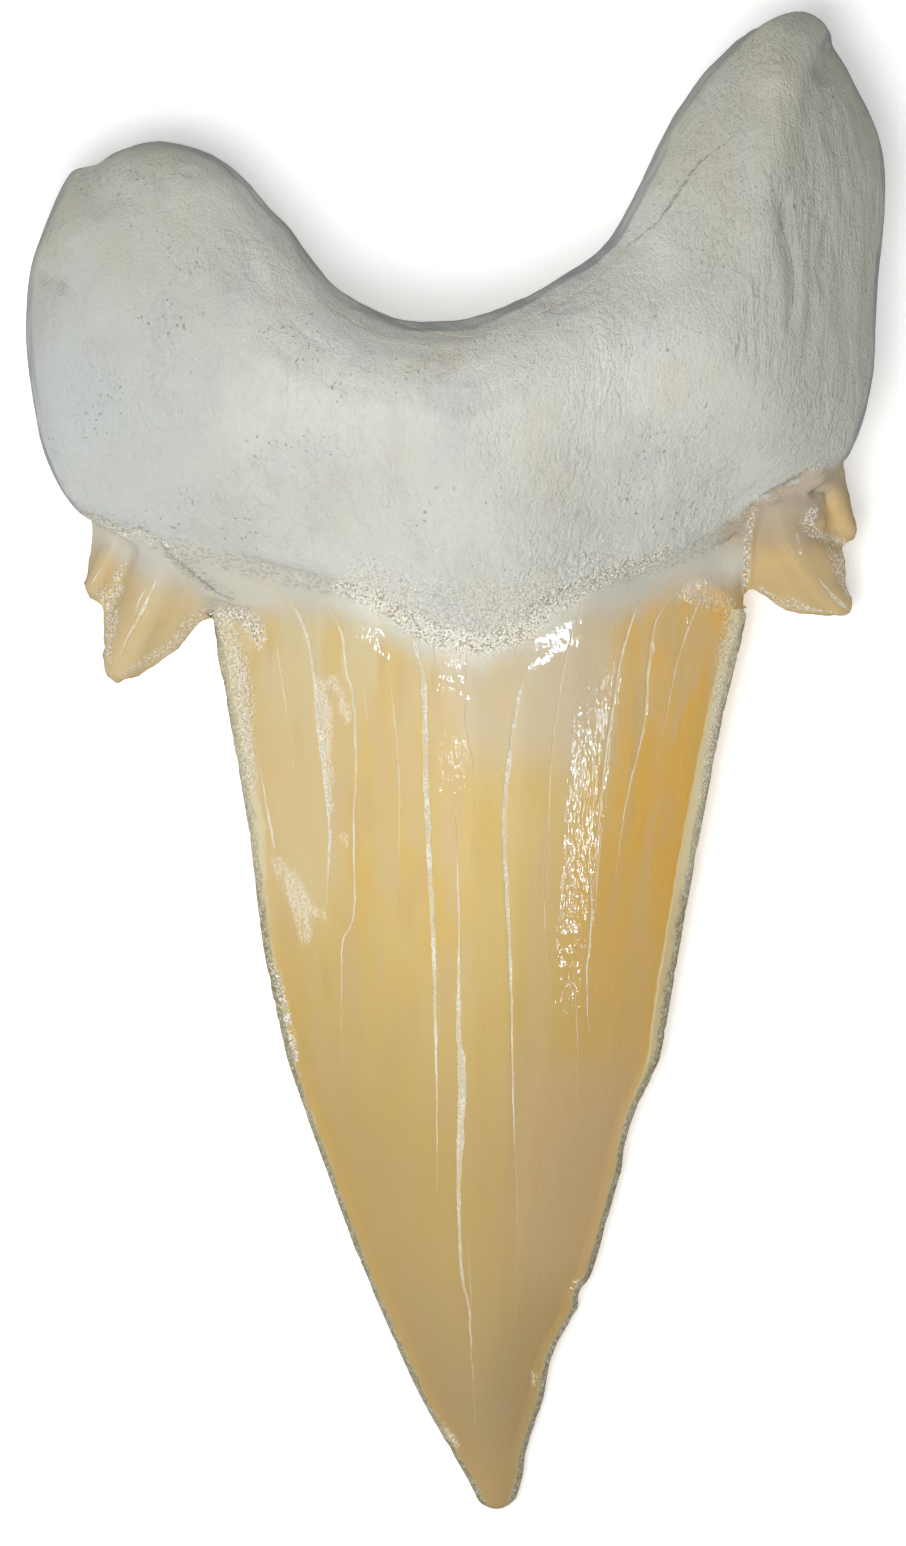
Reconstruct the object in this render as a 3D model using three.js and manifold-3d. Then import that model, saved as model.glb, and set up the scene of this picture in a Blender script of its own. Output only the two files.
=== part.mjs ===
// A fossil tooth of a large mackerel shark: a broad two-lobed root, a tall blade and two pairs of side cusplets.
// It lies on its flat outer face, the way it rests on a table, with the blade pointing along -Y and +Z up.
// Units are millimetres. The origin is under the middle of its bounding box, on the surface that it rests on.
import * as THREE from "three";
import Module from "manifold-3d";
import { mergeVertices } from "three/addons/utils/BufferGeometryUtils.js";

const wasm = await Module();
wasm.setup();

// Driving dimensions.
const BLADE = {
  tip: [2.5, -44.9, 1.1],
  buried: [1.5, 19.5, 7],
  rows: 60,
  columns: 32,
  underPower: 2.6,
  edgeEase: 0.22,
  bitePower: 6,
};
const ROOT = {
  rows: 75,
  columns: 32,
  roundness: 3,
  underPower: 2.4,
  slopeFrom: -0.4,
  slopePower: 1.3,
  leftNub: [-0.1, -0.05, 0],
  rightNub: [0.4, 0.45, 0],
};
const CUSPLET = { rows: 8, columns: 12, ridgePower: 1.35 };
const TABLE = { size: 140, depth: 20 };

// Stations along the blade, from the point to where it is buried in the root. left and right are the two cutting
// edges, edge is their height, and top and under are the heights of the inner and outer faces halfway between them.
const BLADE_STATIONS = [
  { y: -44.7, left: 1.5, right: 3.4, edge: 1.1, top: 2.2, under: -0.05 },
  { y: -43.7, left: 0.95, right: 3.75, edge: 1.2, top: 2.7, under: -0.1 },
  { y: -38.3, left: -2.15, right: 5.2, edge: 1.3, top: 4.4, under: -0.12 },
  { y: -32.8, left: -4.65, right: 7.4, edge: 1.6, top: 6.1, under: -0.08 },
  { y: -30.0, left: -5.85, right: 8.35, edge: 1.75, top: 6.9, under: 0 },
  { y: -24.5, left: -7.85, right: 9.9, edge: 2.0, top: 8.4, under: 0.15 },
  { y: -17.8, left: -10.2, right: 12.2, edge: 2.4, top: 9.9, under: 0.35 },
  { y: -11.0, left: -11.65, right: 13.4, edge: 2.8, top: 11.1, under: 0.6 },
  { y: -4.0, left: -12.5, right: 14.65, edge: 3.2, top: 12.0, under: 0.85 },
  { y: 3.0, left: -13.7, right: 16.0, edge: 3.6, top: 12.6, under: 1.2 },
  { y: 8.8, left: -14.6, right: 17.35, edge: 4.0, top: 12.5, under: 1.7 },
  { y: 13.0, left: -14.0, right: 17.7, edge: 5.0, top: 11.8, under: 2.4 },
  { y: 17.0, left: -12.0, right: 16.5, edge: 6.0, top: 11.0, under: 3.2 },
];

// Bites that wear and breakage have taken out of the right cutting edge. reach is half of a bite's length.
const EDGE_BITES = [
  { y: -21.4, reach: 3.0, depth: 0.45 },
  { y: -32.0, reach: 0.9, depth: 0.4 },
  { y: -35.4, reach: 2.4, depth: 0.5 },
  { y: -41.4, reach: 1.3, depth: 0.2 },
];

// Stations along the root, from the tip of the left lobe to the tip of the right one. inner is on the edge of the
// notch between the lobes, and outer on the opposite edge, which the blade hides in the middle. Each holds x, y and
// height. top and under are the heights of the two faces, and slope is how far the inner face runs down evenly to
// the blade instead of rounding over.
const ROOT_STATIONS = [
  { inner: [-20.9, 36.6, 4.2], outer: [-22.6, 35.95, 4.2], top: 5.6, under: 2.4, slope: 0 },
  { inner: [-18.6, 37.45, 4.4], outer: [-23.2, 35.7, 4.4], top: 7.6, under: 0.6, slope: 0 },
  { inner: [-16.4, 37.3, 4.8], outer: [-24, 34.3, 4.8], top: 9.2, under: -0.1, slope: 0 },
  { inner: [-14.4, 36.5, 5.1], outer: [-24.7, 32.5, 5.1], top: 10.5, under: -0.15, slope: 0 },
  { inner: [-12.6, 35.1, 5.4], outer: [-25.35, 30.6, 5.4], top: 11.4, under: -0.15, slope: 0 },
  { inner: [-11.2, 33.5, 5.6], outer: [-25.8, 28, 5.6], top: 12.1, under: -0.05, slope: 0 },
  { inner: [-9.8, 31.9, 5.9], outer: [-25.9, 25, 5.9], top: 12.8, under: 0.1, slope: 0 },
  { inner: [-8.5, 30.2, 6.2], outer: [-25.5, 21.6, 6.1], top: 13.5, under: 0.4, slope: 0.15 },
  { inner: [-7.2, 28.7, 6.5], outer: [-24.7, 18.3, 6.1], top: 14.2, under: 0.8, slope: 0.4 },
  { inner: [-6.2, 27.9, 6.8], outer: [-23.1, 15.6, 6.2], top: 14.9, under: 1.2, slope: 0.7 },
  { inner: [-5.2, 27.35, 7], outer: [-18.8, 12.7, 7], top: 15.5, under: 1.6, slope: 0.9 },
  { inner: [-4, 26.8, 7.2], outer: [-13.8, 9.6, 5.8], top: 16.1, under: 1.9, slope: 1 },
  { inner: [-2.8, 26.5, 7.4], outer: [-8.2, 9, 8.8], top: 16.7, under: 2.2, slope: 1 },
  { inner: [-1.4, 26.4, 7.5], outer: [-3, 7.8, 11.4], top: 17.2, under: 2.4, slope: 1 },
  { inner: [0.2, 26.6, 7.5], outer: [1.4, 6, 12.2], top: 17.4, under: 2.5, slope: 1 },
  { inner: [2.2, 27.2, 7.5], outer: [6.2, 7.9, 11.3], top: 17.2, under: 2.4, slope: 1 },
  { inner: [4.2, 28.1, 7.4], outer: [11.6, 10.5, 8.4], top: 16.7, under: 2.1, slope: 1 },
  { inner: [6.2, 29.3, 7.2], outer: [17.2, 14, 6.2], top: 16.1, under: 1.7, slope: 0.9 },
  { inner: [8, 30.5, 6.9], outer: [22.8, 17.5, 5.8], top: 15.2, under: 1.2, slope: 0.4 },
  { inner: [9.2, 31.7, 6.5], outer: [24.3, 20.5, 6.1], top: 14.4, under: 0.6, slope: 0.15 },
  { inner: [10.3, 33.6, 6.1], outer: [24.95, 23.6, 6.1], top: 13.8, under: 0.1, slope: 0 },
  { inner: [11.5, 36, 5.7], outer: [25.35, 29.4, 5.7], top: 13, under: -0.15, slope: 0 },
  { inner: [13, 39, 5.3], outer: [25.9, 34.6, 5.3], top: 11.9, under: -0.15, slope: 0 },
  { inner: [15, 41.8, 4.9], outer: [25.4, 38.2, 4.9], top: 10.6, under: 0.1, slope: 0 },
  { inner: [17.6, 44.1, 4.7], outer: [23.7, 41.6, 4.7], top: 8.8, under: 0.9, slope: 0 },
  { inner: [20.7, 44.95, 4.5], outer: [22.6, 43.3, 4.5], top: 6.6, under: 2.4, slope: 0 },
];

// The right lobe has a crest along its middle, with a flat flank that falls away outwards.
const RIGHT_FLANK = { fromX: 5, fullX: 11, crestAt: 0.05, drop: 0.5 };

// Side cusplets, from the base buried in the root to the point.
const CUSPLETS = {
  leftMajor: {
    stations: [
      { left: [-21.2, 15.0], right: [-13.0, 12.6], edge: 4.8, top: 9.6, under: 2.6 },
      { left: [-21.4, 11.2], right: [-14.3, 9.7], edge: 4.4, top: 8.2, under: 2.4 },
      { left: [-21.4, 9.0], right: [-15.7, 8.25], edge: 3.9, top: 6.8, under: 2.2 },
      { left: [-21.35, 7.2], right: [-17.2, 6.6], edge: 3.4, top: 5.4, under: 2.1 },
      { left: [-21.25, 5.6], right: [-19.2, 5.25], edge: 3.0, top: 4.1, under: 2.2 },
    ],
    point: [-20.8, 4.85, 2.9],
  },
  leftMinor: {
    stations: [
      { left: [-21.9, 14.6], right: [-18.4, 14.0], edge: 4.9, top: 7.6, under: 3.2 },
      { left: [-22.2, 12.4], right: [-19.6, 11.2], edge: 4.5, top: 6.4, under: 3.1 },
      { left: [-22.45, 10.8], right: [-20.9, 9.55], edge: 4.1, top: 5.1, under: 3.1 },
    ],
    point: [-22.1, 9.85, 3.8],
  },
  rightMajor: {
    stations: [
      { left: [16.0, 13.8], right: [22.4, 17.4], edge: 5.0, top: 9.6, under: 2.8 },
      { left: [17.0, 11.0], right: [23.1, 14.2], edge: 4.6, top: 8.2, under: 2.6 },
      { left: [18.3, 10.15], right: [23.3, 12.4], edge: 4.1, top: 6.9, under: 2.4 },
      { left: [20.1, 9.2], right: [23.5, 10.9], edge: 3.6, top: 5.4, under: 2.3 },
      { left: [22.2, 8.85], right: [23.8, 9.9], edge: 3.3, top: 4.3, under: 2.4 },
    ],
    point: [23.8, 9.0, 3.1],
  },
  rightMinor: {
    stations: [
      { left: [19.8, 17.6], right: [23.3, 18.2], edge: 5.1, top: 7.8, under: 3.4 },
      { left: [21.6, 15.0], right: [23.8, 15.6], edge: 4.7, top: 6.6, under: 3.3 },
      { left: [22.9, 13.3], right: [24.15, 14.2], edge: 4.3, top: 5.2, under: 3.3 },
    ],
    point: [23.9, 13.35, 4.0],
  },
};

// A smooth line through one value of each station, as a function of the share of the way along.
function through(stations, pick) {
  const curve = new THREE.CatmullRomCurve3(stations.map((station) => new THREE.Vector3(...pick(station))));
  return (share) => curve.getPoint(share);
}

// A closed skin over stations. crossSection gives the points round the skin at a share of the way along, and
// start and end are the points that close it.
function skin(rows, columns, crossSection, start, end) {
  const positions = [start];
  for (let row = 0; row <= rows; row++) positions.push(...crossSection(row / rows));
  positions.push(end);
  const last = positions.length - 1;
  const faces = [];
  for (let column = 0; column < columns; column++) {
    const next = (column + 1) % columns;
    faces.push(0, 1 + next, 1 + column);
    faces.push(last, last - columns + column, last - columns + next);
    for (let row = 0; row < rows; row++) {
      const here = 1 + row * columns;
      const above = here + columns;
      faces.push(here + column, here + next, above + next);
      faces.push(here + column, above + next, above + column);
    }
  }
  const geometry = new THREE.BufferGeometry().setFromPoints(positions);
  geometry.setIndex(faces);
  return geometry;
}

// Points round a section from its first edge over the top face to its second edge and back under it. across runs
// from -1 at the first edge to 1 at the second.
function sectionPoints(columns, first, second, topHeight, underHeight) {
  const middle = first.clone().add(second).multiplyScalar(0.5);
  const half = second.clone().sub(first).multiplyScalar(0.5);
  return Array.from({ length: columns }, (_, column) => {
    const angle = (2 * Math.PI * column) / columns;
    const across = -Math.cos(angle);
    const point = middle.clone().addScaledVector(half, across);
    point.z += angle < Math.PI ? topHeight(across) : -underHeight(across);
    return point;
  });
}

function solidFrom(geometry) {
  const merged = mergeVertices(new THREE.BufferGeometry().copy(geometry), 1e-3);
  const solid = new wasm.Manifold(
    new wasm.Mesh({
      numProp: 3,
      vertProperties: merged.attributes.position.array,
      triVerts: new Uint32Array(merged.index.array),
    }),
  );
  if (solid.volume() < 0) throw new Error("a skin is inside out");
  return solid;
}

function biteAt(y) {
  return EDGE_BITES.reduce((deepest, bite) => {
    const share = Math.abs(y - bite.y) / bite.reach;
    return share < 1 ? Math.max(deepest, bite.depth * (1 - share * share)) : deepest;
  }, 0);
}

// Half of a rounded slab's section: 1 in the middle, falling to 0 at both edges.
const dome = (across, power) => (1 - Math.abs(across) ** power) ** (1 / power);

function bladeSolid() {
  const edges = through(BLADE_STATIONS, (s) => [s.left, s.right, s.edge]);
  const faces = through(BLADE_STATIONS, (s) => [s.top, s.under, s.y]);
  const crossSection = (share) => {
    const { x: left, y: right, z: edge } = edges(share);
    const { x: top, y: under, z: y } = faces(share);
    const whole = sectionPoints(
      BLADE.columns,
      new THREE.Vector3(left, y, edge),
      new THREE.Vector3(right, y, edge),
      (across) => (top - edge) * (1 - across ** 2) * (1 - BLADE.edgeEase * across ** 2),
      (across) => (edge - under) * (1 - Math.abs(across) ** BLADE.underPower),
    );
    for (const point of whole) {
      const towardsRight = Math.max(0, (2 * point.x - left - right) / (right - left));
      point.x -= biteAt(y) * towardsRight ** BLADE.bitePower;
    }
    return whole;
  };
  const tip = new THREE.Vector3(...BLADE.tip);
  const buried = new THREE.Vector3(...BLADE.buried);
  return solidFrom(skin(BLADE.rows, BLADE.columns, crossSection, tip, buried));
}

function rootSolid() {
  const inner = through(ROOT_STATIONS, (s) => s.inner);
  const outer = through(ROOT_STATIONS, (s) => s.outer);
  const heights = through(ROOT_STATIONS, (s) => [s.top, s.under, s.slope]);
  const { fromX, fullX, crestAt, drop } = RIGHT_FLANK;
  const crossSection = (share) => {
    const first = inner(share);
    const second = outer(share);
    const { x: top, y: under, z: slope } = heights(share);
    const edgeHeight = (across) => THREE.MathUtils.lerp(first.z, second.z, (1 + across) / 2);
    const flank = drop * THREE.MathUtils.smoothstep(first.x, fromX, fullX);
    const pastCrest = (across) => Math.max(0, (across - crestAt) / (1 - crestAt));
    return sectionPoints(
      ROOT.columns,
      first,
      second,
      (across) => {
        const round = dome(across, ROOT.roundness);
        const rim = across < 0 ? round : THREE.MathUtils.lerp(round, 1, slope);
        const fall = slope * (Math.max(0, across - ROOT.slopeFrom) / (1 - ROOT.slopeFrom)) ** ROOT.slopePower;
        return (top - edgeHeight(across)) * rim * (1 - fall) * (1 - flank * pastCrest(across));
      },
      (across) => (edgeHeight(across) - under) * dome(across, ROOT.underPower),
    );
  };
  const leftEnd = inner(0).lerp(outer(0), 0.5).add(new THREE.Vector3(...ROOT.leftNub));
  const rightEnd = inner(1).lerp(outer(1), 0.5).add(new THREE.Vector3(...ROOT.rightNub));
  return solidFrom(skin(ROOT.rows, ROOT.columns, crossSection, leftEnd, rightEnd));
}

function cuspletSolid({ stations, point }) {
  const left = through(stations, (s) => [...s.left, s.edge]);
  const right = through(stations, (s) => [...s.right, s.edge]);
  const heights = through(stations, (s) => [s.top, s.under, s.edge]);
  const crossSection = (share) => {
    const { x: top, y: under, z: edge } = heights(share);
    return sectionPoints(
      CUSPLET.columns,
      right(share),
      left(share),
      (across) => (top - edge) * (1 - Math.abs(across) ** CUSPLET.ridgePower),
      (across) => (edge - under) * (1 - across ** 2),
    );
  };
  const base = left(0).lerp(right(0), 0.5);
  return solidFrom(skin(CUSPLET.rows, CUSPLET.columns, crossSection, base, new THREE.Vector3(...point)));
}

// Everything below the table is cut off flat, which leaves the small faces that the tooth rests on.
function belowTheTable() {
  const { size, depth } = TABLE;
  const box = new THREE.BoxGeometry(size, size, depth).translate(0, 0, -depth / 2);
  box.deleteAttribute("normal");
  box.deleteAttribute("uv");
  return solidFrom(box);
}

function toothGeometry() {
  let tooth = rootSolid().add(bladeSolid());
  for (const cusplet of Object.values(CUSPLETS)) tooth = tooth.add(cuspletSolid(cusplet));
  const mesh = tooth.subtract(belowTheTable()).getMesh();
  const geometry = new THREE.BufferGeometry();
  geometry.setAttribute("position", new THREE.BufferAttribute(mesh.vertProperties, 3));
  geometry.setIndex(new THREE.BufferAttribute(mesh.triVerts, 1));
  geometry.computeVertexNormals();
  return geometry;
}

const fossil = new THREE.MeshStandardMaterial({ color: 0xcfc6ae, roughness: 0.6, metalness: 0 });

const group = new THREE.Group();
const tooth = new THREE.Mesh(toothGeometry(), fossil);
tooth.name = "tooth";
group.add(tooth);

export default group;
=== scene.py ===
import math
import random
from functools import partial

import bmesh
import bpy
import numpy as np
from mathutils import Euler, Matrix, Vector, noise
from mathutils.bvhtree import BVHTree


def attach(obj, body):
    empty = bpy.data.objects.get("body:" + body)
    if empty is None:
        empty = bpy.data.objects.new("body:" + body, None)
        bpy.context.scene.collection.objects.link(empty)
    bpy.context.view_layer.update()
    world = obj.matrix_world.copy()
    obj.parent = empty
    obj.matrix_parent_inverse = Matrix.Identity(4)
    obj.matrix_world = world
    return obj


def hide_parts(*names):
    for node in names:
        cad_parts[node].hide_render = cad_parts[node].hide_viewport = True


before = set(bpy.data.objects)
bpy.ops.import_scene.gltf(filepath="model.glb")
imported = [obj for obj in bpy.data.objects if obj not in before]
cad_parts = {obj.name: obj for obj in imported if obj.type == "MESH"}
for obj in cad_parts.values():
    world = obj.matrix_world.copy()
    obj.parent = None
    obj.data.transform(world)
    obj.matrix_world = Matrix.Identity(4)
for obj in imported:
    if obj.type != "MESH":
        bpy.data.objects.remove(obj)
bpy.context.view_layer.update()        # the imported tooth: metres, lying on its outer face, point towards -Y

mm = 0.001
scene = bpy.context.scene


def smoothStep(low, high, value):
    share = np.clip((value - low) / (high - low), 0.0, 1.0)
    return share * share * (3.0 - 2.0 * share)


def noiseAt(points, size, seed):
    # smooth noise from -1 to 1; size is the width of one lump along x, y and z in mm
    scaled = points / np.array(size) + seed
    return np.array([noise.noise(Vector(row)) for row in scaled])


def curveThrough(line):
    firsts, seconds = np.array(line, float).T
    return lambda value: np.interp(value, firsts, seconds)


def linearColour(hexText, alpha=1.0):
    channels = [int(hexText[i:i + 2], 16) / 255 for i in (1, 3, 5)]
    linear = [c / 12.92 if c <= 0.04045 else ((c + 0.055) / 1.055) ** 2.4 for c in channels]
    return (*linear, alpha)


def addNode(tree, kind, links=None, output=0, **settings):
    # settings go on the node, links hold a value or a socket for each input, and one output comes back
    made = tree.nodes.new("ShaderNode" + kind)
    for name, value in settings.items():
        setattr(made, name, value)
    for name, value in (links or {}).items():
        if isinstance(value, bpy.types.NodeSocket):
            tree.links.new(value, made.inputs[name])
        else:
            made.inputs[name].default_value = value
    return made.outputs[output] if made.outputs else None


tooth = {
    "voxel": 0.295,         # mm, spacing of the even skin
    "smoothPasses": 12,     # for the steps that the even skin leaves
    "smoothFactors": (0.6, -0.62),
    "uprightShare": 0.6,    # of that smoothing, for faces that stand upright and hold sharp edges
    "wearFactors": (0.5,),
    "hiddenBelow": -0.45,   # faces that look down more than this are the hidden side
    "hiddenTop": 12,        # mm, no higher than this
    "undersideKeep": 0.3,   # share of the faces kept there
    "floorGap": 0.02,       # mm, the skin stays this far above the floor
    "lineWiden": 1.1,       # times the width given with each fine line
    "lineSoft": 0.035,      # mm, soft edge of a fine line
    "coreInside": 0.05,     # mm from the edge of a crack to its darker core
    "coreSoft": 0.03,       # mm
    "grooveDepth": 0.02,    # mm, depth of a crack
    "grooveFrom": 0.065,    # mm, half width from which a crack gets finer faces
    "collarRecess": 0.22,   # mm, the enamel ends in a rounded lip of this height
    "bladeGrow": 0.05,      # mm, added to the outline of the blade
    "edgeNicks": 0.06,      # mm, depth of the small nicks in the cutting edges
    "rootShrink": 0.1,      # mm, taken off the outline of the root
    "rimPasses": 10,        # smoothing of the edges of the cusplets
    "bladeReach": (-15.0, 17.6, 9.4),       # mm, left, right and upper end of the blade
    "edgeBand": (0.9, 0.6, -44.5, 9.2),     # mm inside and outside the cutting edges, lowest and highest y
    "foldCentre": (20.9, 14.4),             # mm, fold between the two right cusplets
    "ridgeEnd": 1.8,        # half widths from a ridge or valley to where it has faded out
    "crackCover": 0.92,     # how fully the filling covers a crack, and how much less it does in the root
    "crackInRoot": 0.3,
    "crackFade": (-16, -36, 1, 0.5),        # from and to along y in mm, and the share of the filling there
    "rimMatrix": 0.45,      # how much matrix clings to the rim of the blade

    # Borders seen from above, as x and y in mm
    "rootLine": [  # lower edge of the root on the inner face
        (-24, 16), (-22.3, 15), (-21.2, 14.6), (-19.9, 13.9), (-19, 14.1), (-18.1, 13.5), (-17, 13.2),
        (-15.5, 12.9), (-12.5, 12.1), (-9.5, 11.3), (-7.6, 10.8), (-5.2, 10.1), (-3.4, 9.2), (-1, 8),
        (1.4, 7.5), (3.8, 8.3), (6.2, 9.9), (8.6, 10.9), (11, 11.7), (14.6, 12.9), (16.6, 14.7), (17.7, 15.4),
        (20.1, 16.9), (23.3, 18.2), (25, 19),
    ],
    "enamelLine": [  # where the enamel starts below the collar
        (-24, 14.6), (-21.3, 13.5), (-19.3, 12.1), (-17.9, 11.1), (-16.3, 10.9), (-15, 9.9), (-14, 9.5),
        (-12.5, 9.5), (-10.1, 9.6), (-7.7, 9.6), (-5.8, 9), (-4, 8.1), (-2.2, 7.2), (-.4, 6.5), (1.4, 6.3),
        (2.6, 7), (4.4, 7.7), (5.6, 8.2), (7.6, 9.4), (9.4, 9.4), (10.7, 9.7), (12.7, 10.8), (14.6, 11.1),
        (17.2, 11.2), (17.6, 14.8), (19.6, 15.1), (21.5, 15.9), (22.5, 17.5), (25, 19),
    ],
    "outerLine": [  # edge of the enamel on the hidden outer face
        (-24, 14.6), (-18, 14.4), (-12, 15.8), (-5, 17.6), (1.5, 18.2), (8, 17.6), (15, 16.6), (20, 16.8),
        (25, 18.6),
    ],

    # Crest of the longer lobe, where its flank turns away and the painted shade of the flank begins: y and x
    # in mm
    "crestLine": [
        (20, 18.7), (26, 19.1), (29, 19), (32, 18.5), (35, 18.6), (38, 19.7), (42, 21.1), (45, 21.6),
    ],

    # Worn bands along the cutting edges: y and width in mm
    "leftBand": [(-44, .34), (-20, .34), (-17, .5), (-14, .7), (-11, .5), (-8, .6), (-4, .9), (0, 1), (4, .9),
                 (9, 1)],
    "rightBand": [(-44, .34), (-24, .36), (-20, .5), (-15, .85), (-6, .95), (4, .9), (9, .9)],

    # Fine lines on the inner face: x, y and width at each point, in mm. A crack that runs closer than a
    # millimetre to another is among crackBeside, so that both can be drawn.
    "lines": {
        "crack": [
            [(-10.9, 8, .05), (-10.4, 4.5, .1), (-9.8, .7, .08), (-9.9, -1.3, .03)],
            [(-3.6, 9, .1), (-2.5, 7, .22), (-2, 4.9, .3), (-1.9, 1.9, .34), (-1.8, -2.2, .34),
             (-1.6, -6.4, .32), (-1.4, -10.6, .28), (-1.3, -15.5, .2), (-1.2, -21, .12),
             (-1.2, -25.9, .03)],
            [(4, 5.4, .08), (3.6, 3.6, .22), (3.2, 1, .26), (2.9, -1.4, .28), (2.8, -4.8, .28),
             (3, -8.6, .26), (3.2, -13, .18), (3.3, -17.9, .14), (3.4, -22, .1), (3.6, -27, .06),
             (3.6, -30.8, .02)],
            [(10.7, 9.4, .08), (9.9, 6.8, .16), (9.4, 4.2, .16), (8.9, .8, .14), (8.6, -1.8, .12),
             (8.3, -5.9, .1), (8.3, -9, .03)],
            [(15.1, 10.9, .05), (14.1, 8.8, .11), (13.2, 6.2, .12), (12.6, 3.3, .09), (12.2, 1.6, .03)],
            [(.55, -28.1, .04), (.75, -30.5, .1), (.9, -33.4, .04)],
            [(-18, 10.9, .14), (-18.9, 9, .2), (-19.8, 7.5, .12), (-20.8, 5.4, .08)],
            # a painted highlight along the ridge of the right cusplet, drawn as a pale line like the cracks
            [(19.6, 13.5, .03), (20, 12.7, .06), (21, 11.7, .06), (22.1, 10.6, .16), (22.8, 9.9, .34),
             (23.4, 9.4, .16)],
            [(-8.4, 27.6, .05), (-6.3, 26.3, .14), (-3.1, 24.3, .05)],
            [(-7.5, 9.2, .1), (-6.85, 7.8, .14), (-6.6, 5.6, .14), (-6.15, 3.8, .18), (-6, .2, .16),
             (-6.15, -3.8, .14), (-6.1, -8.2, .14), (-6.4, -9.8, .12), (-6.85, -10.7, .1),
             (-6.9, -13.9, .07), (-6.9, -17.8, .03)],
            [(-12.2, 1.4, .05), (-11.7, -1, .1), (-11.2, -3.8, .16), (-10.8, -6, .05)],
            [(7.75, -5.6, .05), (8, -8.2, .14), (7.95, -10.4, .12), (7.75, -12.4, .12), (7.8, -15, .08),
             (8, -16.4, .03)],
        ],
        "crackBeside": [
            [(-4.2, 6.4, .06), (-3.8, 3.8, .1), (-3.5, .5, .1), (-3.4, -3, .09), (-3.6, -8.3, .03)],
            [(.6, 7.4, .05), (.5, 2.8, .07), (1, -.5, .07), (1, -4, .03)],
            [(7.3, 9.2, .06), (6.6, 6.9, .1), (6, 3.7, .1), (5.6, .3, .09), (5.4, -4.3, .08),
             (5.2, -9.5, .07), (5.5, -13, .03)],
            [(12.8, 10.1, .06), (11.8, 8.3, .13), (11.4, 5.6, .15), (11.1, 1.9, .13), (10.3, -1.3, .11),
             (9.8, -4.2, .09), (9.4, -7.5, .03)],
            [(-.1, -3.1, .06), (.1, -8.6, .14), (.1, -13, .22), (.1, -16, .34), (.3, -18.5, .46),
             (.2, -22.5, .4), (.1, -26, .24), (.3, -30.6, .2), (.7, -32.6, .18), (.9, -36, .1),
             (1.1, -39.8, .04)],
            [(-21, 12.2, .05), (-21.7, 11.2, .12), (-22, 10.7, .05)],
            [(-3.9, 26.4, .05), (-1.4, 25.5, .14), (1, 25.2, .14), (3.8, 26.1, .12), (6, 27.2, .12),
             (8.3, 28.7, .14), (9.9, 30.4, .12), (11.3, 31.5, .04)],
            [(-12.3, 11, .08), (-10.9, 10.4, .12), (-9.7, 9.3, .16), (-8.85, 7.3, .2), (-8.4, 4.4, .24),
             (-8.2, 2.6, .42), (-8, .2, .26), (-7.6, -3.6, .2), (-7.7, -6.3, .16), (-7.8, -8.4, .05)],
            [(-1.4, 6.9, .1), (-1.3, 5.8, .04)],
            [(-5.65, 4.9, .04), (-5.35, 3, .08), (-5.3, 2.4, .03)],
            [(6.85, -11.5, .04), (7.15, -15.6, .08), (7.2, -20.2, .02)],
        ],
        "strand": [  # chalky strands and hairlines between the cracks
            [(-18.4, 10.7, .1), (-19, 9.8, .14), (-19.3, 8.9, .05)],
            [(-8.05, 1.4, .05), (-7.85, 3, .1), (-7.6, 4.6, .1), (-7.4, 5, .03)],
            [(8.7, -3.6, .04), (8.4, -6.2, .1), (8.2, -9.3, .04)],
        ],
        "crease": [  # dark creases in the root and at the necks of the cusplets; their darkness is painted shade
            [(9.6, 30.3, .08), (11.9, 32.2, .16), (13.1, 33.9, .24), (14, 35.2, .2), (14.8, 36, .14),
             (16.2, 37, .06)],
            [(15, 41.8, .1), (15.3, 42.1, .22)],
            [(11.4, 27.2, .08), (11.5, 26.9, .1)],
            [(17.4, 27.8, .05), (17, 27.2, .1), (16.8, 26.4, .06)],
            [(19.2, 33.2, .05), (19.3, 31.5, .12), (19.9, 29.5, .1), (19.9, 27.5, .14), (19.6, 26, .05)],
            [(-22.6, 15.1, .2), (-21.2, 14.7, .24), (-19.9, 13.9, .22), (-19, 14.1, .16),
             (-18.1, 13.5, .22), (-17, 12.5, .2), (-15.6, 11.3, .18), (-14.2, 10.2, .16),
             (-13.2, 9.8, .05)],
            [(18, 16, .05), (19.4, 16.6, .2), (20.4, 17.2, .24), (21.4, 17.9, .08)],
            [(17.9, 15.2, .08), (17.5, 14.3, .2), (17.4, 12.4, .22), (17.35, 10.8, .1)],
        ],
    },

    # Thin chalky deposits on the enamel: x, y and half width, in mm
    "chalky": [
        [(-10.9, -5.8, .35), (-10.2, -6.9, .7), (-9.6, -8, .8), (-9.2, -9.2, .7), (-9.1, -10.6, .35)],
        [(-9.4, -8.6, .4), (-8.3, -8.9, .35), (-7.9, -9.2, .15)],
        [(-14, 8.6, .5), (-13.4, 6.4, .6), (-13, 4.3, .6), (-12.9, 2.2, .5), (-12.7, .2, .4),
         (-12.4, -1.8, .15)],
        [(-8.3, 5, .2), (-8.05, 3.8, .55), (-7.9, 2.4, .5), (-7.85, 1, .35), (-7.6, -.8, .25),
         (-7.5, -2.8, .12)],
        [(-7.9, 4.6, .35), (-7.4, 4.9, .4), (-6.95, 4.1, .3), (-6.65, 3.2, .38), (-6.5, 2.6, .2)],
        [(-1.1, -39.9, .15), (-.3, -40.8, .3), (.1, -41.3, .15)],
        [(4.6, -36.6, .08), (4.65, -37.1, .15), (4.5, -37.6, .08)],
        [(-5.3, -31.4, .12), (-4.7, -32.9, .15)],
        [(-6.7, -4.4, .3), (-6.6, -4.9, .15)],
        [(16.5, 7.4, .4), (16, 5, .5), (15.7, 3, .3)],
    ],

    # Dark olive stains in the corners beside the cusplets: x, y and half width, in mm
    "stained": [
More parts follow.
